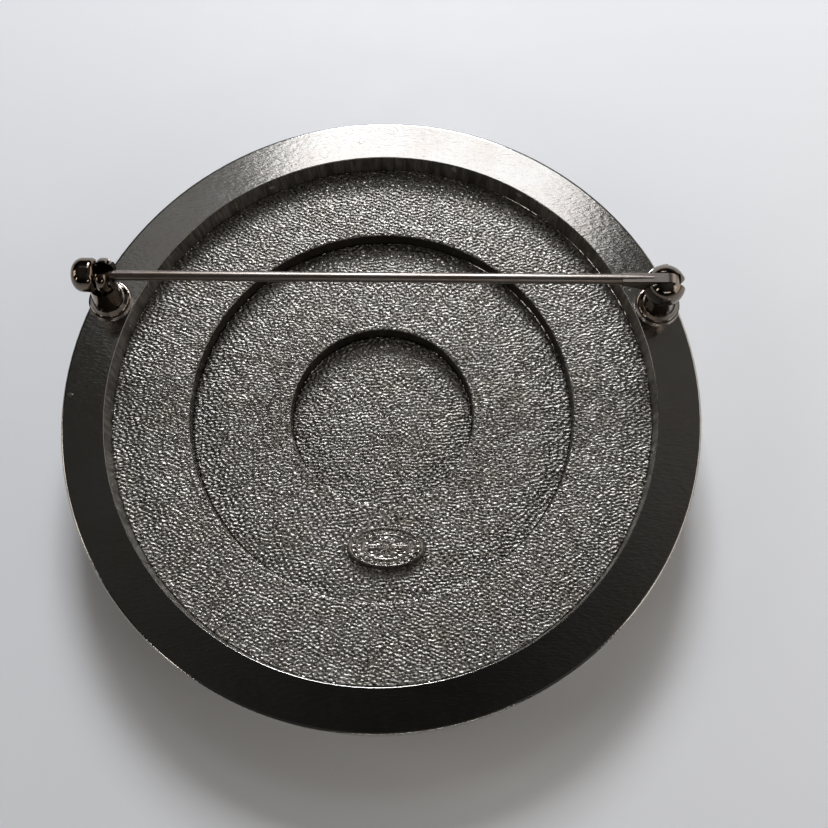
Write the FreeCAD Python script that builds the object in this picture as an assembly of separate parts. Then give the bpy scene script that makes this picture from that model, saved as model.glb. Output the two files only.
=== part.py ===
import FreeCAD, Part

import math
import os

# A round stepped badge with an enamelled front, a hinged pin stem and a turning safety catch.
#
# Lengths are millimetres. +Z is up and the badge lies face down: the origin is the centre of the
# resting face, which is the front of the centre tier, and the pin is on the upper side, its stem
# along X. The hinge is at +X and the catch at -X.

# Badge body: radii and depths
RIM_RADIUS = 32.0
RIM_THICKNESS = 2.4
RIM_BACK = 8.2                    # height of the rim's back above the resting face
POCKET_RADII = (27.7, 19.7, 9.55)
POCKET_DEPTHS = (2.5, 4.4, 6.4)   # each below the rim's back
PLATE = 1.8                       # metal between a pocket's floor and the front of its tier
TIER_LIP = 1.5                    # how far a front tier reaches past the pocket behind it
DRAFT = 0.06                      # sideways taper of a wall, per millimetre of its height
POCKET_EDGE = 0.08
POCKET_FILLET = 0.15
CRISP_EDGE = 0.15
SOFT_EDGE = 0.3

# Enamel in the front
WELL_DEPTH = 0.7
ENAMEL_DROP = 0.12                # the enamel stops this far short of the metal lines
METAL_LINE = 0.45
BORDER = 0.8
OUTER_CELLS = 24
MIDDLE_PETALS = 12
MIDDLE_PETAL_HALF_WIDTH = 1.75
CENTRE_PETALS = 8
CENTRE_PETAL_HALF_WIDTH = 1.45
CENTRE_FIELD_START = 4.6          # inside this the metal between the centre petals is solid
BOSS_RADIUS = 1.4

# Pin: the chord that the stem runs along, and its height
PIN_Y = 10.9
HINGE_X = 28.0
PIN_HEIGHT = 5.8                  # axis of the stem above the rim's back
PIN_Z = RIM_BACK + PIN_HEIGHT
PIVOT_DROP = 0.8                  # the hinge's pivot is this far under the stem's axis
PIVOT_Z = PIN_Z - PIVOT_DROP

# Stem
WIRE_RADIUS = 0.5
TIP_RADIUS = 0.1
TIP_X = -27.75
TAPER_START_X = -26.7
EYE_RADIUS = WIRE_RADIUS + PIVOT_DROP
EYE_THICKNESS = 0.95
FLAT_START_X = 23.6
RUNNING_CLEARANCE = 0.05

# Feet and necks; each neck leans a little from its foot to the pin
FOOT_X = 28.2
FOOT_Y = 10.65
FOOT_RADIUS = 2.05
FOOT_RIM = 0.35
FOOT_HEIGHT = 0.9
NECK_BASE_RADIUS = 1.65
NECK_RADIUS = 1.45
SPIGOT_RADIUS = 0.6
SOLDER_RADIUS = 2.3
SOLDER_HEIGHT = 0.22

# Hinge
BALL_RADIUS = 2.05
BALL_DROP = 0.6                   # centre of the ball under the pivot
EAR_GAP = 1.15
GAP_BELOW_PIVOT = 1.4
RIVET_RADIUS = 0.45
RIVET_HALF_LENGTH = 1.92
RIVET_ROUND = 0.2

# Catch
COLLAR_INNER_X = -26.53
COLLAR_LENGTH = 1.24
COLLAR_RADIUS = 1.7
COLLAR_ROUND = 0.5
COLLAR_SLOT = 1.25
POST_TOP = 3.7                    # top of the catch's post above the rim's back, under the knob
WEB_RADIUS = 0.58
SLEEVE_RADIUS = 1.1
SLEEVE_BORE = 0.7
SLEEVE_SLOT = 1.2
SLEEVE_LIP_RADIUS = 1.32
SLEEVE_LIP = 0.2
KNOB_GAP = 0.1
KNOB_LENGTH = 2.37
KNOB_RADIUS = 1.7
KNOB_ROUND = 1.1
KNOB_SOCKET = 0.8

# Plaque in the middle pocket
PLAQUE_X = 0.8
PLAQUE_Y = -14.0
PLAQUE_HALF_LENGTH = 3.85
PLAQUE_HALF_WIDTH = 2.05
PLAQUE_THICKNESS = 0.85
PLAQUE_RELIEF = 0.25
PLAQUE_BORDER = 0.32
PLAQUE_BEADS = 24
BEAD_RADIUS = 0.17
ROSETTE_PETALS = 6

Vector = FreeCAD.Vector
UP = Vector(0, 0, 1)
ALONG_X = Vector(1, 0, 0)
ALONG_Y = Vector(0, 1, 0)
PIN_AXIS = Vector(0, PIN_Y, PIN_Z)


def rounded_wire(corners):
    """Closed wire through (x, z, round) corners in the XZ plane, each corner rounded by an arc."""
    count = len(corners)
    ends = []
    for i, (x, z, radius) in enumerate(corners):
        here = Vector(x, 0, z)
        before = Vector(corners[i - 1][0], 0, corners[i - 1][1]) - here
        after = Vector(corners[(i + 1) % count][0], 0, corners[(i + 1) % count][1]) - here
        before.normalize()
        after.normalize()
        if radius == 0:
            ends.append((here, None, here))
            continue
        half = before.getAngle(after) / 2
        reach = radius / math.tan(half)
        middle = before + after
        middle.normalize()
        crown = here + middle * (radius / math.sin(half) - radius)
        ends.append((here + before * reach, crown, here + after * reach))
    edges = []
    for i, (start, crown, end) in enumerate(ends):
        if crown is not None:
            edges.append(Part.Arc(start, crown, end).toShape())
        following = ends[(i + 1) % count][0]
        if end.distanceToPoint(following) > 1e-7:
            edges.append(Part.LineSegment(end, following).toShape())
    return Part.Wire(edges)


def turned(corners, origin=Vector(0, 0, 0), axis=UP):
    """Solid of revolution of (radius, height, round) corners about an axis through origin."""
    solid = Part.Face(rounded_wire(corners)).revolve(Vector(0, 0, 0), UP, 360)
    solid.Placement = FreeCAD.Placement(origin, FreeCAD.Rotation(UP, axis))
    return solid


def ring(inner, outer, bottom, height, centre=(0, 0)):
    """Flat ring, or a disc when inner is 0."""
    base = Vector(centre[0], centre[1], bottom)
    solid = Part.makeCylinder(outer, height, base)
    if inner > 0:
        solid = solid.cut(Part.makeCylinder(inner, height, base))
    return solid


def lens(start, end, half_width, angle, bottom, height):
    """Petal with two arc sides, from radius start to radius end, turned to an angle in degrees."""
    root = Vector(start, 0, bottom)
    tip = Vector(end, 0, bottom)
    middle = (start + end) / 2
    sides = [Part.Arc(root, Vector(middle, half_width, bottom), tip).toShape(),
             Part.Arc(tip, Vector(middle, -half_width, bottom), root).toShape()]
    petal = Part.Face(Part.Wire(sides)).extrude(Vector(0, 0, height))
    petal.rotate(Vector(0, 0, 0), UP, angle)
    return petal


def petals(count, start, end, half_width, bottom, height, first_angle=0.0):
    """List of evenly spaced petals."""
    return [lens(start, end, half_width, first_angle + 360.0 * i / count, bottom, height)
            for i in range(count)]


def fronts():
    """Front height of the outer, middle and centre tiers."""
    return [RIM_BACK - depth - PLATE for depth in POCKET_DEPTHS]


def tier_radii():
    """Radius of the outer, middle and centre front tiers at their front edge."""
    return [radius + TIER_LIP for radius in POCKET_RADII]


def body_blank():
    """Cast disc with its pockets and tiers, before the enamel wells."""
    front = fronts()
    radius = tier_radii()
    rim_front = RIM_BACK - RIM_THICKNESS
    outline = [(0, front[2], 0)]
    for i in (2, 1, 0):
        top = front[i - 1] if i > 0 else rim_front
        outline.append((radius[i], front[i], SOFT_EDGE))
        outline.append((radius[i] + DRAFT * (top - front[i]), top, CRISP_EDGE))
    outline.append((RIM_RADIUS, rim_front, 2 * SOFT_EDGE))
    outline.append((RIM_RADIUS, RIM_BACK, SOFT_EDGE))
    above = RIM_BACK
    for pocket, depth in zip(POCKET_RADII, POCKET_DEPTHS):
        floor = RIM_BACK - depth
        outline.append((pocket, above, POCKET_EDGE))
        outline.append((pocket - DRAFT * (above - floor), floor, POCKET_FILLET))
        above = floor
    outline.append((0, above, 0))
    return turned(outline)


def enamel_layouts(bottoms, height):
    """Outlines of every enamel colour, extruded from the three tiers' bottoms, by node name."""
    outer, middle, centre = bottoms
    tier = tier_radii()
    outer_ring = ring(tier[1] + BORDER, tier[0] - BORDER, outer, height)
    reach = tier[0]
    spokes = []
    for i in range(OUTER_CELLS):
        spoke = Part.makeBox(reach, METAL_LINE, height, Vector(0, -METAL_LINE / 2, outer))
        spoke.rotate(Vector(0, 0, 0), UP, 360.0 * i / OUTER_CELLS)
        spokes.append(spoke)
    cells = outer_ring.cut(Part.Compound(spokes)).Solids
    cells.sort(key=lambda cell: math.atan2(cell.CenterOfMass.y, cell.CenterOfMass.x))

    # a petal's metal outline runs half a line into the borders, so that it joins them
    gap = 2 * METAL_LINE
    overlap = METAL_LINE / 2
    middle_in = tier[2] + BORDER
    middle_out = tier[1] - BORDER
    middle_petals = petals(MIDDLE_PETALS, middle_in + gap, middle_out - gap,
                           MIDDLE_PETAL_HALF_WIDTH, middle, height)
    middle_lines = petals(MIDDLE_PETALS, middle_in - overlap, middle_out + overlap,
                          MIDDLE_PETAL_HALF_WIDTH + METAL_LINE, middle, height)
    middle_field = ring(middle_in, middle_out, middle, height).cut(Part.Compound(middle_lines))

    centre_out = tier[2] - BORDER
    centre_petals = petals(CENTRE_PETALS, BOSS_RADIUS + gap, centre_out - gap,
                           CENTRE_PETAL_HALF_WIDTH, centre, height)
    centre_lines = petals(CENTRE_PETALS, BOSS_RADIUS, centre_out + overlap,
                          CENTRE_PETAL_HALF_WIDTH + METAL_LINE, centre, height)
    centre_field = ring(CENTRE_FIELD_START, centre_out, centre, height).cut(Part.Compound(centre_lines))

    return {"enamel_outer_dark": cells[0::2],
            "enamel_outer_light": cells[1::2],
            "enamel_middle_field": middle_field.Solids,
            "enamel_middle_petals": middle_petals,
            "enamel_centre_field": centre_field.Solids,
            "enamel_centre_petals": centre_petals}


def enamel_and_body():
    """Enamel fills by node name, and the body with a well cut for each."""
    front = fronts()
    wells = enamel_layouts(front, WELL_DEPTH)
    drop = [height + ENAMEL_DROP for height in front]
    fills = enamel_layouts(drop, WELL_DEPTH - ENAMEL_DROP)
    every_well = [well for group in wells.values() for well in group]
    body = body_blank().cut(Part.Compound(every_well))
    return body, {name: Part.Compound(group) for name, group in fills.items()}


def foot(x):
    """Round flanged foot with a hole for the spigot of what stands on it."""
    outline = [(SPIGOT_RADIUS, 0, 0), (FOOT_RADIUS, 0, 0.05), (FOOT_RADIUS, FOOT_RIM, 0.15),
               (NECK_BASE_RADIUS + 0.35, FOOT_RIM, 0.3), (NECK_BASE_RADIUS, FOOT_HEIGHT, 0.1),
               (SPIGOT_RADIUS, FOOT_HEIGHT, 0)]
    return turned(outline, Vector(x, FOOT_Y, RIM_BACK))


def solder_fillet(x):
    """Solder round a foot, only where the rim is under it."""
    outline = [(FOOT_RADIUS, 0, 0), (SOLDER_RADIUS, 0, 0), (FOOT_RADIUS, SOLDER_HEIGHT, 0)]
    fillet = turned(outline, Vector(x, FOOT_Y, RIM_BACK))
    land = ring(POCKET_RADII[0] + CRISP_EDGE, RIM_RADIUS - SOFT_EDGE, RIM_BACK, 1.0)
    return fillet.common(land)


def loft(*sections):
    """Solid through level circles, each given as (x, y, z, radius)."""
    return Part.makeLoft([Part.Wire(Part.makeCircle(r, Vector(x, y, z))) for x, y, z, r in sections], True)


def neck(foot_x, top_x, top_z, top_radius):
    """Thick neck from a foot up to whatever it carries, with a spigot into the foot."""
    base_z = RIM_BACK + FOOT_HEIGHT
    body = loft((foot_x, FOOT_Y, base_z, NECK_BASE_RADIUS - 0.1),
                ((foot_x + top_x) / 2, (FOOT_Y + PIN_Y) / 2, (base_z + top_z) / 2, NECK_RADIUS),
                (top_x, PIN_Y, top_z, top_radius))
    return body.fuse(Part.makeCylinder(SPIGOT_RADIUS, FOOT_HEIGHT, Vector(foot_x, FOOT_Y, RIM_BACK)))


def hinge_ball():
    """Ball on a neck, slotted for the stem's eye and drilled for the rivet."""
    pivot = Vector(HINGE_X, PIN_Y, PIVOT_Z)
    centre = pivot - UP * BALL_DROP
    stand = neck(FOOT_X, HINGE_X, centre.z - BALL_RADIUS * 0.7, BALL_RADIUS * 0.72)
    ball = Part.makeSphere(BALL_RADIUS, centre).fuse(stand)
    gap = Part.makeBox(4 * BALL_RADIUS, EAR_GAP, 3 * BALL_RADIUS,
                       pivot - Vector(2 * BALL_RADIUS, EAR_GAP / 2, GAP_BELOW_PIVOT))
    hole = Part.makeCylinder(RIVET_RADIUS, 4 * BALL_RADIUS, pivot - ALONG_Y * 2 * BALL_RADIUS, ALONG_Y)
    return ball.cut(gap).cut(hole).removeSplitter()


def hinge_rivet():
    """Round rivet through both ears."""
    outline = [(0, 0, 0), (RIVET_RADIUS, 0, RIVET_ROUND),
               (RIVET_RADIUS, 2 * RIVET_HALF_LENGTH, RIVET_ROUND), (0, 2 * RIVET_HALF_LENGTH, 0)]
    return turned(outline, Vector(HINGE_X, PIN_Y - RIVET_HALF_LENGTH, PIVOT_Z), ALONG_Y)


def touch_point(start, side):
    """Where a line from start touches the eye's round; side is +1 for its top and -1 for its foot."""
    middle = Vector(HINGE_X, start.y, PIVOT_Z)
    toward = start - middle
    turn = math.acos(EYE_RADIUS / toward.Length)
    toward.normalize()
    return middle + FreeCAD.Rotation(ALONG_Y, side * math.degrees(turn)).multVec(toward) * EYE_RADIUS


def pin_stem():
    """Wire with a flattened eye at the hinge and a point at the catch."""
    shank_end = HINGE_X - EYE_RADIUS
    shank = Part.makeCylinder(WIRE_RADIUS, shank_end - TAPER_START_X,
                              Vector(TAPER_START_X, PIN_Y, PIN_Z), ALONG_X)
    point = Part.makeCone(WIRE_RADIUS, TIP_RADIUS, TAPER_START_X - TIP_X,
                          Vector(TAPER_START_X, PIN_Y, PIN_Z), -ALONG_X)
    face_y = PIN_Y - EYE_THICKNESS / 2
    eye = Part.makeCylinder(EYE_RADIUS, EYE_THICKNESS, Vector(HINGE_X, face_y, PIVOT_Z), ALONG_Y)
    # the flat leaves the wire's top and foot and widens down to the eye
    upper = Vector(FLAT_START_X, face_y, PIN_Z + WIRE_RADIUS * 0.9)
    lower = Vector(FLAT_START_X, face_y, PIN_Z - WIRE_RADIUS * 0.9)
    corners = [lower, touch_point(lower, -1), touch_point(upper, 1), upper, lower]
    flat = Part.Face(Part.makePolygon(corners)).extrude(ALONG_Y * EYE_THICKNESS)
    hole = Part.makeCylinder(RIVET_RADIUS + RUNNING_CLEARANCE, 2 * EYE_THICKNESS,
                             Vector(HINGE_X, PIN_Y - EYE_THICKNESS, PIVOT_Z), ALONG_Y)
    return shank.fuse([point, eye, flat]).cut(hole).removeSplitter()


def slot_up(x_low, x_high, width):
    """Block that opens a slot from the pin's axis straight up."""
    return Part.makeBox(x_high - x_low, width, 3 * COLLAR_RADIUS,
                        Vector(x_low, PIN_Y - width / 2, PIN_Z))


def catch_collar():
    """C-shaped collar, open at the top, on a web that stands on a thick post."""
    outer_x = COLLAR_INNER_X - COLLAR_LENGTH
    barrel = turned([(0, 0, 0), (COLLAR_RADIUS, 0, COLLAR_ROUND),
                     (COLLAR_RADIUS, COLLAR_LENGTH, COLLAR_ROUND), (0, COLLAR_LENGTH, 0)],
                    Vector(outer_x, PIN_Y, PIN_Z), ALONG_X)
    middle_x = COLLAR_INNER_X - COLLAR_LENGTH / 2
    post_z = RIM_BACK + POST_TOP
    stand = neck(-FOOT_X, -FOOT_X + 0.2, post_z, NECK_RADIUS - 0.05)
    web = loft((middle_x - 0.25, PIN_Y, post_z - 0.6, 1.5 * WEB_RADIUS),
               (middle_x, PIN_Y, PIN_Z - COLLAR_RADIUS * 0.75, WEB_RADIUS))
    bore = Part.makeCylinder(SLEEVE_RADIUS + RUNNING_CLEARANCE, 2 * COLLAR_LENGTH,
                             Vector(outer_x - COLLAR_LENGTH / 2, PIN_Y, PIN_Z), ALONG_X)
    slot = slot_up(outer_x - 1, COLLAR_INNER_X + 1, COLLAR_SLOT)
    return barrel.fuse([web, stand]).cut(bore).cut(slot).removeSplitter()


def catch_sleeve():
    """Slotted sleeve that turns in the collar, with a lip that keeps it there."""
    knob_face_x = COLLAR_INNER_X - COLLAR_LENGTH - KNOB_GAP
    start_x = knob_face_x - KNOB_SOCKET
    lip_x = COLLAR_INNER_X + RUNNING_CLEARANCE
    tube = Part.makeCylinder(SLEEVE_RADIUS, lip_x - start_x, Vector(start_x, PIN_Y, PIN_Z), ALONG_X)
    lip = Part.makeCylinder(SLEEVE_LIP_RADIUS, SLEEVE_LIP, Vector(lip_x, PIN_Y, PIN_Z), ALONG_X)
    bore = Part.makeCylinder(SLEEVE_BORE, lip_x + SLEEVE_LIP - start_x,
                             Vector(start_x, PIN_Y, PIN_Z), ALONG_X)
    slot = slot_up(knob_face_x, lip_x + SLEEVE_LIP, SLEEVE_SLOT)
    return tube.fuse(lip).cut(bore).cut(slot).removeSplitter()


def catch_knob():
    """Round thumb knob with a socket for the sleeve."""
    face_x = COLLAR_INNER_X - COLLAR_LENGTH - KNOB_GAP
    knob = turned([(0, 0, 0), (KNOB_RADIUS, 0, KNOB_ROUND), (KNOB_RADIUS, KNOB_LENGTH, KNOB_ROUND / 2),
                   (0, KNOB_LENGTH, 0)], Vector(face_x - KNOB_LENGTH, PIN_Y, PIN_Z), ALONG_X)
    socket = Part.makeCylinder(SLEEVE_RADIUS, KNOB_SOCKET, Vector(face_x, PIN_Y, PIN_Z), -ALONG_X)
    return knob.cut(socket)


def oval(half_length, half_width, bottom, height):
    """Upright elliptical block centred on the plaque."""
    curve = Part.Ellipse(Vector(PLAQUE_X, PLAQUE_Y, bottom), half_length, half_width)
    return Part.Face(Part.Wire(curve.toShape())).extrude(Vector(0, 0, height))


def back_plaque():
    """Oval plaque with a raised border, a ring of beads and a small rosette, and no lettering."""
    floor = RIM_BACK - POCKET_DEPTHS[1]
    plate_top = floor + PLAQUE_THICKNESS
    plate = oval(PLAQUE_HALF_LENGTH, PLAQUE_HALF_WIDTH, floor, PLAQUE_THICKNESS + PLAQUE_RELIEF)
    inside = oval(PLAQUE_HALF_LENGTH - PLAQUE_BORDER, PLAQUE_HALF_WIDTH - PLAQUE_BORDER,
                  plate_top, PLAQUE_RELIEF)
    plate = plate.cut(inside)
    relief = []
    for i in range(PLAQUE_BEADS):
        turn = 2 * math.pi * i / PLAQUE_BEADS
        x = PLAQUE_X + (PLAQUE_HALF_LENGTH - 2.1 * PLAQUE_BORDER) * math.cos(turn)
        y = PLAQUE_Y + (PLAQUE_HALF_WIDTH - 2.1 * PLAQUE_BORDER) * math.sin(turn)
        relief.append(Part.makeSphere(BEAD_RADIUS, Vector(x, y, plate_top)))
    for i in range(ROSETTE_PETALS):
        petal = lens(0.2, 0.8, 0.17, 360.0 * i / ROSETTE_PETALS, plate_top - 0.05, 0.25)
        petal.translate(Vector(PLAQUE_X, PLAQUE_Y, 0))
        relief.append(petal)
    return plate.fuse(relief).removeSplitter()


def plaque_solder():
    """Thin solder line round the plaque's foot."""
    floor = RIM_BACK - POCKET_DEPTHS[1]
    line = 0.12
    return oval(PLAQUE_HALF_LENGTH + line, PLAQUE_HALF_WIDTH + line, floor, line).cut(
        oval(PLAQUE_HALF_LENGTH, PLAQUE_HALF_WIDTH, floor, line))


body, enamel = enamel_and_body()
nodes = {"badge_body": body,
         "back_plaque": back_plaque(),
         "plaque_solder": plaque_solder(),
         "hinge_foot": foot(FOOT_X),
         "hinge_ball": hinge_ball(),
         "hinge_rivet": hinge_rivet(),
         "hinge_solder": solder_fillet(FOOT_X),
         "pin_stem": pin_stem(),
         "catch_foot": foot(-FOOT_X),
         "catch_collar": catch_collar(),
         "catch_sleeve": catch_sleeve(),
         "catch_knob": catch_knob(),
         "catch_solder": solder_fillet(-FOOT_X)}
nodes.update(enamel)

os.makedirs("parts", exist_ok=True)
for name, shape in nodes.items():
    if not shape.isValid():
        raise ValueError(name + " is not a valid shape")
    shape.exportStep("parts/" + name + ".step")
    box = shape.BoundBox
    print("%-22s %2d solids  x %7.2f %7.2f  y %7.2f %7.2f  z %6.2f %6.2f" % (
        name, len(shape.Solids), box.XMin, box.XMax, box.YMin, box.YMax, box.ZMin, box.ZMax))
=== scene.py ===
import math

import bpy
import numpy as np
from mathutils import Matrix, Vector


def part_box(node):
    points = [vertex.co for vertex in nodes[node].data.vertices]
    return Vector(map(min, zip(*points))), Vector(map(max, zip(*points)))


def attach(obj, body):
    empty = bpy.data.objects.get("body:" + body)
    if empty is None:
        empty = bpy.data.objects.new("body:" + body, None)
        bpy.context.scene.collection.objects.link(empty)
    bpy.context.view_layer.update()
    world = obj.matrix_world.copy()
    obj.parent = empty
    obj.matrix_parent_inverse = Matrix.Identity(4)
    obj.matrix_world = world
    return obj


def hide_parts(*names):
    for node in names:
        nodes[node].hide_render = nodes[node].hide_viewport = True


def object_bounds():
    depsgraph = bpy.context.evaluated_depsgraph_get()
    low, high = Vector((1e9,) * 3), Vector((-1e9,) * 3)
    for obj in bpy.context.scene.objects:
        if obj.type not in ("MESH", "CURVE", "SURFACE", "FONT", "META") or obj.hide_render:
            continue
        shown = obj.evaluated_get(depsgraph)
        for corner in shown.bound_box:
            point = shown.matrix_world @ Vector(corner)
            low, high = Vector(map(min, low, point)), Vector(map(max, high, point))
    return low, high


# A round stepped badge with a cast, plated back, seen from above as it lies face down on a table.
# The frame brings every CAD piece. This script adds the cast grain of the three pocket floors, the
# fine relief of the plaque, the materials, the table, the lights and the camera. Lengths are metres.

MM = 0.001
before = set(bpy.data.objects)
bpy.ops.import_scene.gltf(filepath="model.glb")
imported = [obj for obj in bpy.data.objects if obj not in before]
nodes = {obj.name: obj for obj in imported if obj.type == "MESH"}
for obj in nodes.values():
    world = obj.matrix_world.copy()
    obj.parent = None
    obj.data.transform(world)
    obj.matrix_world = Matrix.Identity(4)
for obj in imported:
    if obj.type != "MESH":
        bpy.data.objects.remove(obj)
cad_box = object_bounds()
CENTRE = (cad_box[0] + cad_box[1]) / 2

# Rim and pocket floors of the casting
LEVEL_NORMAL = 0.9999             # a face is level when its normal's Z is above this
WIDE_AREA = (10 * MM) ** 2        # a rim or a floor is larger than this

# Cast grain
GRAIN_STEP = 0.085 * MM           # spacing of the grain's mesh
GRAIN_LIFT = 0.075 * MM           # mean height of the grain over the pocket's floor
GRAIN_WAVES = 90
GRAIN_LENGTHS = (0.20 * MM, 0.40 * MM)
GRAIN_STRETCH = 0.55              # wave numbers along X are scaled by this, so the grain runs along X
GRAIN_SLOPE = 1.05                # rms slope of the grain
GRAIN_BACKING = 0.12 * MM         # the skin reaches this far below the floor
EDGE_OVERHANG = 0.12 * MM         # the skin covers the rounded edge of a pocket's floor
EDGE_ROUND = 0.22 * MM            # over this distance it rounds off
EDGE_DROP = 0.10 * MM             # and falls by this much
EDGE_WAVER = 0.02 * MM            # the edge of the skin wanders by this much
EDGE_WAVER_FADE = 8               # power with which that fades away from the edge
FILLET_REACH = 0.04 * MM          # the skin runs this far up the round at the foot of the wall

# Plaque ornament. A ridge is its place, width and height; heights are shares of PLAQUE_RELIEF, and
# places and widths without MM are shares of the plaque's half size.
PLAQUE_RINGS = 90
PLAQUE_SPOKES = 360
PLAQUE_RELIEF = 0.34 * MM
PLAQUE_BORDER = (0.935, 0.045, 1)
PLAQUE_LINE = (0.61, 0.035, 0.6)
PLAQUE_BEAD_RING = (0.775, 0.06, 0.85)
PLAQUE_BEADS = 22
ROSETTE_RING = (0.62 * MM, 0.26 * MM, 0.8)
ROSETTE_BOSS = (0, 0.17 * MM, 0.9)
ROSETTE_PETALS = 8
LEAF_PLACE = 1.45 * MM            # from the rosette's centre to each leaf's
LEAF_HALF_LENGTH = 0.5 * MM
LEAF_HALF_WIDTH = 0.24 * MM
LEAF_HEIGHT = 0.7
LEAF_VEIN = (0, 0.05 * MM, 0.5)
PLAQUE_EDGE = 0.965               # the plaque's top rounds off from here
PLAQUE_EDGE_DROP = 0.12 * MM
PLAQUE_GRAIN = 0.25               # share of the cast grain that the plaque shows
PLAQUE_SEED = 21
WELD_REACH = 0.0005 * MM          # joins the points at the plaque's centre

# Noise values between which a patch, speck or mark fades in
DRIFT_BAND = (0.35, 0.7)
WEAR_BAND = (0.3, 0.75)
SPECK_BAND = (0.38, 0.62)
MARK_BAND = (0.42, 0.62)
NICK_BAND = (0.755, 0.775)
EVEN_BAND = (0.3, 0.7)            # for the enamel and the table
ENAMEL_SPECK_BAND = (0.68, 0.76)

# Colours within the metals
# Painted shade: near-black specks over the grain stand in for its shaded pits
PIT_SHADE_COLOUR = (0.02, 0.019, 0.018)
# Painted shade on the pocket walls: the first wall darker than the rim, the lower walls darker still
FIRST_WALL_SHADE_COLOUR = (0.19, 0.175, 0.16)
LOW_WALL_SHADE_COLOUR = (0.10, 0.09, 0.08)
MARK_COLOUR = (0.34, 0.32, 0.295)
NICK_COLOUR = (0.62, 0.60, 0.56)

# Sizes and heights of what the metals carry
DRIFT_SIZE = 4 * MM
BODY_DRIFT_SIZE = 5 * MM
WEAR_SIZE = 0.9 * MM
BODY_WEAR_SIZE = 1.1 * MM
PEEL_SIZE = 0.22 * MM
PEEL_STRETCH = (0.35, 1, 1)
PEEL_HEIGHT = 0.016 * MM
MARK_SIZE = 0.35 * MM
MARK_HEIGHT = 0.02 * MM
NICK_SIZE = 1.6 * MM
NICK_HEIGHT = 0.01 * MM
BODY_GLOSS = (0.09, 0.14)

# Walls of the pockets, and the marks that run up the first wall
STEEP = (0.2, 0.5)                # normal's |Z| at a full wall and where the wall ends
INWARD = (-4 * MM, -2 * MM)       # normal times place at a full inward wall and where it ends
WALL_ROUGHER = 0.25
MARK_RADIUS = 25 * MM             # turns an angle round the badge into a length
MARK_STRETCH = 0.08               # heights are scaled by this, so the marks run upright
MARK_METALLIC = 0.75

# Camera, in the row frame
CAMERA_PLACE = Vector((5.6, -32.5, 108.1)) * MM
CAMERA_TARGET = Vector((3.43, -1.26, 8.2)) * MM
CAMERA_ROLL = math.radians(-3.18)
CAMERA_LENS = 45.7                # millimetres, on the sensor below
CAMERA_SENSOR = 36

# Studio
TABLE_REACH = 1.0
WARM = (1, 0.93, 0.86)
COOL = (1, 1.01, 1.04)
COOLER = (0.98, 1.0, 1.04)
ROOM_COLOUR = (1.0, 0.95, 0.89)


def flat_rings(node):
    """(height, smallest and largest vertex radius) of a node's wide flats that face up, highest first."""
    mesh = node.data
    radii = {}
    area = {}
    for face in mesh.polygons:
        if face.normal.z > LEVEL_NORMAL:
            level = round(face.center.z / MM, 1)
            area[level] = area.get(level, 0) + face.area
            for index in face.vertices:
                radii.setdefault(level, []).append(mesh.vertices[index].co.to_2d().length)
    wide = [level for level in sorted(area, reverse=True) if area[level] > WIDE_AREA]
    return [(level * MM, min(radii[level]), max(radii[level])) for level in wide]


# ---------------------------------------------------------------- mesh helpers

def make_object(name, points, faces):
    """A smooth-shaded mesh object in the scene."""
    mesh = bpy.data.meshes.new(name)
    mesh.from_pydata([tuple(p) for p in points], [], faces)
    mesh.validate()
    mesh.polygons.foreach_set("use_smooth", [True] * len(mesh.polygons))
    mesh.update()
    obj = bpy.data.objects.new(name, mesh)
    bpy.context.scene.collection.objects.link(obj)
    return obj


def grain_height(x, y, seed):
    """Height of the cast grain: a sum of random waves in every direction, drawn out along X."""
    rng = np.random.default_rng(seed)
    lengths = np.exp(rng.uniform(math.log(GRAIN_LENGTHS[0]), math.log(GRAIN_LENGTHS[1]), GRAIN_WAVES))
    turns = rng.uniform(0, 2 * math.pi, GRAIN_WAVES)
    phases = rng.uniform(0, 2 * math.pi, GRAIN_WAVES)
    height = np.zeros_like(x)
    for length, turn, phase in zip(lengths, turns, phases):
        number = 2 * math.pi / length
        slope = GRAIN_SLOPE * math.sqrt(2 / GRAIN_WAVES)
        along = GRAIN_STRETCH * x * math.cos(turn) + y * math.sin(turn)
        height += slope / number * np.cos(number * along + phase)
    return height


def grain_ring(name, floor, inner, outer, seed):
    """Closed skin of cast grain on a ring-shaped floor, out over the inner edge and a little up the wall."""
    rng = np.random.default_rng(seed)
    inner, outer = inner - EDGE_OVERHANG, outer + FILLET_REACH
    around = int(2 * math.pi * outer / GRAIN_STEP)
    across = int((outer - inner) / GRAIN_STEP)
    angle, share = np.meshgrid(np.arange(around) * 2 * math.pi / around,
                               np.linspace(0, 1, across), indexing="ij")
    waver = EDGE_WAVER * rng.standard_normal((around, 1)) * (1 - share) ** EDGE_WAVER_FADE
    radius = inner + waver + (outer - inner) * share
    x, y = radius * np.cos(angle), radius * np.sin(angle)
    past = np.clip(1 - (radius - inner) / EDGE_ROUND, 0, 1)
    up = np.clip(1 - (outer - radius) / FILLET_REACH, 0, 1)
    top = floor + GRAIN_LIFT + grain_height(x, y, seed)
    top += FILLET_REACH / 2 * up ** 2 - EDGE_DROP * past ** 2
    points = list(zip(x.ravel(), y.ravel(), top.ravel()))
    faces = []
    for i in range(around):
        here, following = i * across, (i + 1) % around * across
        for j in range(across - 1):
            faces.append((here + j, here + j + 1, following + j + 1, following + j))
    base = len(points)
    low = floor - GRAIN_BACKING
    for i in range(around):
        turn = angle[i, 0]
        points += [(x[i, 0], y[i, 0], low), (outer * math.cos(turn), outer * math.sin(turn), low)]
    for i in range(around):
        following = (i + 1) % around
        low_in, low_out = base + 2 * i, base + 2 * i + 1
        next_in, next_out = base + 2 * following, base + 2 * following + 1
        faces.append((low_in, i * across, following * across, next_in))
        faces.append((i * across + across - 1, low_out, next_out, following * across + across - 1))
        faces.append((low_out, low_in, next_in, next_out))
    return make_object(name, points, faces)


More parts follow.
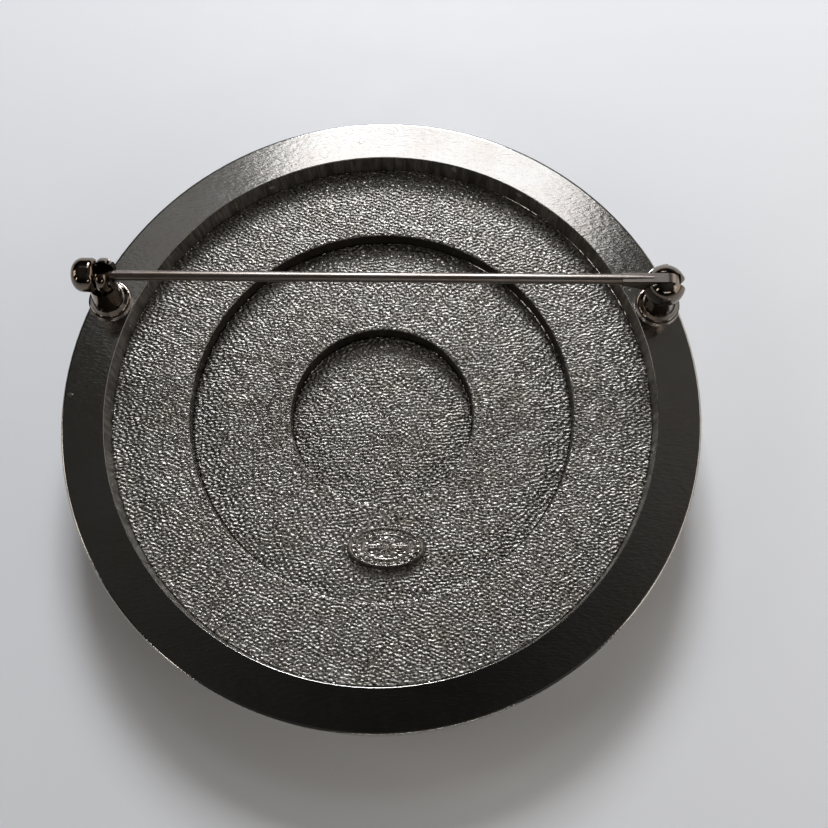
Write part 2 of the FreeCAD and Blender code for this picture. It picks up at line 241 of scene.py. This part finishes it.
def grain_disc(name, floor, outer, seed):
    """Closed skin of cast grain on a round floor, and a little up the wall: a square grid, rounded to fit."""
    outer = outer + FILLET_REACH
    count = int(2 * outer / GRAIN_STEP)
    u, v = np.meshgrid(np.linspace(-1, 1, count), np.linspace(-1, 1, count), indexing="ij")
    x = outer * u * np.sqrt(1 - v ** 2 / 2)
    y = outer * v * np.sqrt(1 - u ** 2 / 2)
    up = np.clip(1 - (outer - np.hypot(x, y)) / FILLET_REACH, 0, 1)
    top = floor + GRAIN_LIFT + grain_height(x, y, seed) + FILLET_REACH / 2 * up ** 2
    points = list(zip(x.ravel(), y.ravel(), top.ravel()))
    faces = []
    for i in range(count - 1):
        for j in range(count - 1):
            here = i * count + j
            faces.append((here, here + count, here + count + 1, here + 1))
    last = count - 1
    border = [(i, 0) for i in range(last)] + [(last, j) for j in range(last)]
    border += [(i, last) for i in range(last, 0, -1)] + [(0, j) for j in range(last, 0, -1)]
    loop = [i * count + j for i, j in border]
    base = len(points)
    for index in loop:
        points.append((points[index][0], points[index][1], floor - GRAIN_BACKING))
    for k in range(len(loop)):
        following = (k + 1) % len(loop)
        faces.append((loop[k], base + k, base + following, loop[following]))
    faces.append(tuple(range(base, base + len(loop)))[::-1])
    return make_object(name, points, faces)


def ridge(distance, place, width, height):
    """A rounded ridge, highest where distance is the same as place."""
    return height * np.exp(-((distance - place) / width) ** 2)


def plaque_ornament(name, node):
    """Oval plaque with a rounded border, a ring of beads, a rosette and a leaf on each side of it."""
    low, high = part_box(node)
    centre = (low + high) / 2
    half = (high - low) / 2
    share, angle = np.meshgrid(np.linspace(0, 1, PLAQUE_RINGS),
                               np.arange(PLAQUE_SPOKES) * 2 * math.pi / PLAQUE_SPOKES, indexing="ij")
    x, y = half.x * share * np.cos(angle), half.y * share * np.sin(angle)
    reach, turn = np.hypot(x, y), np.arctan2(y, x)
    beads = 0.5 + 0.5 * np.cos(PLAQUE_BEADS * angle)
    petals = 0.5 + 0.5 * np.cos(ROSETTE_PETALS * turn)
    height = ridge(share, *PLAQUE_BORDER) + ridge(share, *PLAQUE_LINE)
    height += beads * ridge(share, *PLAQUE_BEAD_RING)
    height += petals * ridge(reach, *ROSETTE_RING) + ridge(reach, *ROSETTE_BOSS)
    for side in (-1, 1):
        leaf = ((x * side - LEAF_PLACE) / LEAF_HALF_LENGTH) ** 2 + (y / LEAF_HALF_WIDTH) ** 2
        height += LEAF_HEIGHT * np.clip(1 - leaf, 0, 1) ** 0.5 * (1 - ridge(y, *LEAF_VEIN))
    fall = np.clip((share - PLAQUE_EDGE) / (1 - PLAQUE_EDGE), 0, 1)
    top = high.z - PLAQUE_RELIEF + PLAQUE_RELIEF * np.clip(height, 0, 1)
    top -= PLAQUE_EDGE_DROP * (1 - np.sqrt(1 - fall ** 2))
    top += PLAQUE_GRAIN * grain_height(x, y, PLAQUE_SEED) * (1 - fall)
    top = np.minimum(top, high.z)
    points = list(zip(centre.x + x.ravel(), centre.y + y.ravel(), top.ravel()))
    points += list(zip(centre.x + x[-1], centre.y + y[-1], np.full(PLAQUE_SPOKES, low.z)))
    faces = []
    for i in range(PLAQUE_RINGS):
        here, outside = i * PLAQUE_SPOKES, (i + 1) * PLAQUE_SPOKES
        for j in range(PLAQUE_SPOKES):
            k = (j + 1) % PLAQUE_SPOKES
            faces.append((here + j, outside + j, outside + k, here + k))
    faces.append(tuple(range(PLAQUE_RINGS * PLAQUE_SPOKES, (PLAQUE_RINGS + 1) * PLAQUE_SPOKES))[::-1])
    obj = make_object(name, points, faces)
    weld = obj.modifiers.new("weld", "WELD")
    weld.merge_threshold = WELD_REACH
    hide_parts(node)
    return obj


# ---------------------------------------------------------------- materials

def add(tree, kind, inputs=None, **settings):
    """Adds a node; each input is a value or another node's output socket."""
    node = tree.nodes.new(kind)
    for key, value in settings.items():
        setattr(node, key, value)
    for socket, value in (inputs or {}).items():
        if isinstance(value, bpy.types.NodeSocket):
            tree.links.new(value, node.inputs[socket])
        else:
            node.inputs[socket].default_value = value
    return node


def noise(tree, vector, size, detail=3.0, roughness=0.55):
    """Noise with features of about that size, in metres; the output is from 0 to 1."""
    node = add(tree, "ShaderNodeTexNoise", {"Vector": vector, "Scale": 1 / size, "Detail": detail,
                                            "Roughness": roughness})
    return node.outputs["Fac"]


def calc(tree, operation, *values):
    """Result of a Math node."""
    return add(tree, "ShaderNodeMath", dict(enumerate(values)), operation=operation).outputs[0]


def ramp(tree, value, band, result=(0, 1)):
    """Maps the ends of the band to the ends of the result and clamps."""
    node = add(tree, "ShaderNodeMapRange", {"Value": value, "From Min": band[0], "From Max": band[1],
                                            "To Min": result[0], "To Max": result[1]})
    return node.outputs["Result"]


def blend(tree, factor, first, second):
    """Mixes two colours, each a red, green and blue or another node's output."""
    # A Mix node's colours are its inputs 6 and 7 and its output 2.
    colours = [value if isinstance(value, bpy.types.NodeSocket) else (*value, 1) for value in (first, second)]
    return add(tree, "ShaderNodeMix", {0: factor, 6: colours[0], 7: colours[1]}, data_type="RGBA").outputs[2]


def drifting(tree, place, size, band, first, second):
    """A colour that drifts from the first to the second in patches of about that size."""
    return blend(tree, ramp(tree, noise(tree, place, size), band), first, second)


def bump(tree, height, distance, strength=1.0, under=None):
    """Normals of a relief that stands on the normals under it."""
    inputs = {"Height": height, "Strength": strength, "Distance": distance}
    if under is not None:
        inputs["Normal"] = under
    return add(tree, "ShaderNodeBump", inputs).outputs["Normal"]


def start_material(name):
    """A new material, its node tree, its shader and the place on the object."""
    material = bpy.data.materials.new(name)
    material.use_nodes = True
    tree = material.node_tree
    place = add(tree, "ShaderNodeTexCoord").outputs["Object"]
    return material, tree, tree.nodes["Principled BSDF"], place


def stretched(tree, place, along):
    """Coordinates scaled by a vector, so that noise runs long where the scale is small."""
    return add(tree, "ShaderNodeMapping", {"Vector": place, "Scale": along}).outputs["Vector"]


def plated_metal(name, colour, stain, gloss, relief, relief_size, stretch=(1, 1, 1), pit_shade=0):
    """Dark plating: colour drifts to a warmer stain, painted shade specks may darken it, gloss varies, and
    the surface is not quite flat.
    """
    material, tree, shader, place = start_material(name)
    long_place = stretched(tree, place, stretch)
    plate = drifting(tree, place, DRIFT_SIZE, DRIFT_BAND, colour, stain)
    # Painted shade: near-black specks, drawn out along X, darken the plating as if its pits lay in shade
    if pit_shade:
        speck = ramp(tree, noise(tree, long_place, relief_size, 2), SPECK_BAND, (0, pit_shade))
        plate = blend(tree, speck, plate, PIT_SHADE_COLOUR)
    wear = ramp(tree, noise(tree, place, WEAR_SIZE, 5), WEAR_BAND, gloss)
    tree.links.new(plate, shader.inputs["Base Color"])
    tree.links.new(wear, shader.inputs["Roughness"])
    tree.links.new(bump(tree, noise(tree, long_place, relief_size, 4), relief), shader.inputs["Normal"])
    shader.inputs["Metallic"].default_value = 1.0
    return material


def pocket_walls(tree, place, height, marked_from):
    """Masks for every wall of the pockets, for the first wall alone and for the lower ones."""
    normal = add(tree, "ShaderNodeNewGeometry").outputs["Normal"]
    level = add(tree, "ShaderNodeSeparateXYZ", {"Vector": normal}).outputs["Z"]
    steep = ramp(tree, calc(tree, "ABSOLUTE", level), STEEP, (1, 0))
    outward = add(tree, "ShaderNodeVectorMath", {0: normal, 1: place}, operation="DOT_PRODUCT")
    wall = calc(tree, "MULTIPLY", steep, ramp(tree, outward.outputs["Value"], INWARD, (1, 0)))
    first_wall = calc(tree, "MULTIPLY", wall, ramp(tree, height, (marked_from, marked_from + 0.1 * MM)))
    return wall, first_wall, calc(tree, "SUBTRACT", wall, first_wall)


def cast_body(name, colour, stain, marked_from):
    """The casting: fine orange peel, marks that run up the first wall, painted shade on the pocket walls
    (darkest on the lower walls) and a few nicks.
    """
    material, tree, shader, place = start_material(name)
    x, y, z = add(tree, "ShaderNodeSeparateXYZ", {"Vector": place}).outputs
    wall, first_wall, shaded_low_wall = pocket_walls(tree, place, z, marked_from)
    along = calc(tree, "MULTIPLY", calc(tree, "ARCTAN2", y, x), MARK_RADIUS)
    up = calc(tree, "MULTIPLY", z, MARK_STRETCH)
    mark_place = add(tree, "ShaderNodeCombineXYZ", {"X": along, "Y": up}).outputs["Vector"]
    marks = ramp(tree, noise(tree, mark_place, MARK_SIZE, 4, 0.7), MARK_BAND)
    marked = calc(tree, "MULTIPLY", marks, first_wall)
    nick = ramp(tree, noise(tree, place, NICK_SIZE, 1), NICK_BAND)

    plate = drifting(tree, place, BODY_DRIFT_SIZE, DRIFT_BAND, colour, stain)
    # Painted shade: the pocket walls are darkened, the lower walls most
    plate = blend(tree, first_wall, plate, FIRST_WALL_SHADE_COLOUR)
    plate = blend(tree, shaded_low_wall, plate, LOW_WALL_SHADE_COLOUR)
    plate = blend(tree, marked, plate, MARK_COLOUR)
    plate = blend(tree, nick, plate, NICK_COLOUR)
    tree.links.new(plate, shader.inputs["Base Color"])
    tree.links.new(ramp(tree, marked, (0, 1), (1, MARK_METALLIC)), shader.inputs["Metallic"])
    gloss = ramp(tree, noise(tree, place, BODY_WEAR_SIZE, 5), WEAR_BAND, BODY_GLOSS)
    rough = calc(tree, "ADD", gloss, ramp(tree, wall, (0, 1), (0, WALL_ROUGHER)))
    tree.links.new(rough, shader.inputs["Roughness"])

    peel = noise(tree, stretched(tree, place, PEEL_STRETCH), PEEL_SIZE, 2.5, 0.6)
    relief = bump(tree, peel, PEEL_HEIGHT)
    relief = bump(tree, marked, MARK_HEIGHT, 0.7, relief)
    relief = bump(tree, nick, NICK_HEIGHT, 1.0, relief)
    tree.links.new(relief, shader.inputs["Normal"])
    return material


def enamel(name, colour, deep):
    """Soft enamel: glossy, a little uneven in depth and with fine specks."""
    material, tree, shader, place = start_material(name)
    speck = ramp(tree, noise(tree, place, 0.12 * MM, 1), ENAMEL_SPECK_BAND, (0, 0.5))
    base = drifting(tree, place, 2.5 * MM, EVEN_BAND, colour, deep)
    gloss = ramp(tree, noise(tree, place, 1.5 * MM), EVEN_BAND, (0.06, 0.16))
    tree.links.new(blend(tree, speck, base, deep), shader.inputs["Base Color"])
    tree.links.new(gloss, shader.inputs["Roughness"])
    tree.links.new(bump(tree, noise(tree, place, 1.2 * MM), 0.03 * MM, 0.6), shader.inputs["Normal"])
    return material


def table_top():
    """Matt pale board."""
    material, tree, shader, place = start_material("table_top")
    pale = drifting(tree, place, 90 * MM, EVEN_BAND, (0.80, 0.81, 0.83), (0.78, 0.795, 0.815))
    tree.links.new(pale, shader.inputs["Base Color"])
    gloss = ramp(tree, noise(tree, place, 5 * MM), EVEN_BAND, (0.5, 0.6))
    tree.links.new(gloss, shader.inputs["Roughness"])
    shader.inputs["Specular IOR Level"].default_value = 0.2
    return material


def dress(node_names, material):
    """Gives CAD nodes a material and a slot."""
    for name in node_names:
        obj = nodes[name]
        obj.data.materials.clear()
        obj.data.materials.append(material)


# ---------------------------------------------------------------- the object

# Each flat is its height and its smallest and largest radius; the rim comes first.
_, outer_floor, middle_floor, centre_floor = flat_rings(nodes["badge_body"])
outer_level = outer_floor[0]
centre_level, _, centre_radius = centre_floor
cast = cast_body("cast_plating", (0.375, 0.365, 0.35), (0.35, 0.33, 0.305), outer_level)
grain = plated_metal("cast_grain", (0.46, 0.44, 0.415), (0.40, 0.375, 0.33), (0.34, 0.44),
                     0.032 * MM, 0.11 * MM, stretch=(0.5, 1, 1), pit_shade=0.9)
plaque = plated_metal("plaque", (0.42, 0.405, 0.385), (0.34, 0.32, 0.29), (0.22, 0.34),
                      0.006 * MM, 0.12 * MM)
bright = plated_metal("bright_plating", (0.18, 0.165, 0.15), (0.19, 0.13, 0.085), (0.06, 0.13),
                      0.004 * MM, 0.8 * MM)
wire = plated_metal("steel_wire", (0.26, 0.235, 0.215), (0.22, 0.18, 0.155), (0.28, 0.36),
                    0.004 * MM, 0.2 * MM, stretch=(0.06, 1, 1))
solder = plated_metal("solder", (0.20, 0.19, 0.18), (0.17, 0.145, 0.12), (0.2, 0.4),
                      0.03 * MM, 0.5 * MM)
dress(["badge_body"], cast)
dress(["hinge_foot", "hinge_ball", "catch_foot", "catch_collar", "catch_sleeve", "catch_knob"],
      bright)
dress(["hinge_rivet", "pin_stem"], wire)
dress(["plaque_solder", "hinge_solder", "catch_solder"], solder)

dark_blue = enamel("enamel_dark", (0.012, 0.045, 0.13), (0.006, 0.02, 0.07))
ivory = enamel("enamel_light", (0.74, 0.69, 0.57), (0.66, 0.59, 0.46))
teal = enamel("enamel_teal", (0.02, 0.21, 0.22), (0.01, 0.13, 0.15))
red = enamel("enamel_accent", (0.45, 0.055, 0.045), (0.30, 0.03, 0.03))
dress(["enamel_outer_dark", "enamel_centre_field"], dark_blue)
dress(["enamel_outer_light", "enamel_middle_petals"], ivory)
dress(["enamel_middle_field"], teal)
dress(["enamel_centre_petals"], red)

skins = [grain_ring("grain_outer", *outer_floor, seed=11),
         grain_ring("grain_middle", *middle_floor, seed=12),
         grain_disc("grain_centre", centre_level, centre_radius, seed=13),
         plaque_ornament("plaque_ornament", "back_plaque")]
for skin, material in zip(skins, (grain, grain, grain, plaque)):
    skin.data.materials.append(material)
    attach(skin, "badge")

# ---------------------------------------------------------------- table, light and camera

corners = ((-1, -1), (1, -1), (1, 1), (-1, 1))
table = make_object("table", [(TABLE_REACH * x, TABLE_REACH * y, cad_box[0].z) for x, y in corners],
                    [(0, 1, 2, 3)])
table.data.materials.append(table_top())


def softbox(name, azimuth, elevation, distance, size, radiance, panes=(1, 1), bar=0.04, tint=(1, 1, 1)):
    """Softbox split into panes and aimed at the badge. Azimuth 0 is behind the badge, at +Y, and 90 is +X."""
    a, e = math.radians(azimuth), math.radians(elevation)
    toward = Vector((math.sin(a) * math.cos(e), math.cos(a) * math.cos(e), math.sin(e)))
    turn = (-toward).to_track_quat("-Z", "Y").to_matrix().to_4x4()
    box = Matrix.Translation(CENTRE + toward * distance) @ turn
    width, height = ((1 - bar * (count - 1)) / count * side for count, side in zip(panes, size))
    for i in range(panes[0]):
        for j in range(panes[1]):
            light = bpy.data.lights.new(f"{name}_{i}{j}", "AREA")
            light.shape = "RECTANGLE"
            light.size = width
            light.size_y = height
            light.energy = radiance * math.pi * width * height
            light.color = tint
            obj = bpy.data.objects.new(light.name, light)
            # Panes are spaced by their own size and a bar, about the middle of the softbox.
            sideways = (i + 0.5) * (width + bar * size[0]) - (1 + bar) * size[0] / 2
            upward = (j + 0.5) * (height + bar * size[1]) - (1 + bar) * size[1] / 2
            obj.matrix_world = box @ Matrix.Translation((sideways, upward, 0))
            bpy.context.scene.collection.objects.link(obj)


softbox("back", -1, 37, 0.35, size=(0.115, 0.10), radiance=31, panes=(2, 2), tint=COOLER)
softbox("high", 1, 57, 0.45, size=(0.16, 0.11), radiance=2.6, tint=COOL)
softbox("high_left", -23, 58, 0.45, size=(0.15, 0.12), radiance=0.25)
softbox("left", -90, 25, 0.5, size=(0.20, 0.20), radiance=3.5, panes=(2, 2), bar=0.12, tint=WARM)
softbox("front_left", -129, 25, 0.5, size=(0.05, 0.14), radiance=5, tint=WARM)
softbox("front", 170, 28, 0.5, size=(0.30, 0.04), radiance=3.5, tint=WARM)
softbox("right_fill", 85, 20, 0.16, size=(0.24, 0.08), radiance=1.4, tint=WARM)
softbox("right", 115, 33, 0.5, size=(0.10, 0.14), radiance=2, panes=(2, 2), bar=0.12, tint=WARM)


def studio_world():
    """A dim room: darkest overhead, brighter lower down and on the right, with haze at the horizon."""
    world = bpy.data.worlds.new("studio")
    world.use_nodes = True
    sky = world.node_tree
    direction = add(sky, "ShaderNodeTexCoord").outputs["Generated"]
    across, _, up = add(sky, "ShaderNodeSeparateXYZ", {"Vector": direction}).outputs
    overhead = ramp(sky, up, (0.93, 1.0), (0.085, 0.013))
    lower = ramp(sky, up, (0.5, 0.93), (0.15, 1))
    side = ramp(sky, across, (-0.5, 0.5), (0.5, 1.5))
    haze = ramp(sky, up, (0.02, 0.14), (0.5, 0))
    room = calc(sky, "MULTIPLY", calc(sky, "MULTIPLY", overhead, lower), side)
    background = sky.nodes["Background"]
    sky.links.new(calc(sky, "ADD", room, haze), background.inputs["Strength"])
    background.inputs["Color"].default_value = (*ROOM_COLOUR, 1)
    return world


bpy.context.scene.world = studio_world()
bpy.context.scene.view_settings.view_transform = "Standard"

camera = bpy.data.objects.new("camera", bpy.data.cameras.new("camera"))
camera.data.lens = CAMERA_LENS
camera.data.sensor_width = CAMERA_SENSOR
camera.data.clip_start = 10 * MM
aim = (CAMERA_TARGET - CAMERA_PLACE).to_track_quat("-Z", "Y")
camera.matrix_world = (Matrix.Translation(CAMERA_PLACE) @ aim.to_matrix().to_4x4()
                       @ Matrix.Rotation(CAMERA_ROLL, 4, "Z"))
bpy.context.scene.collection.objects.link(camera)
bpy.context.scene.camera = camera
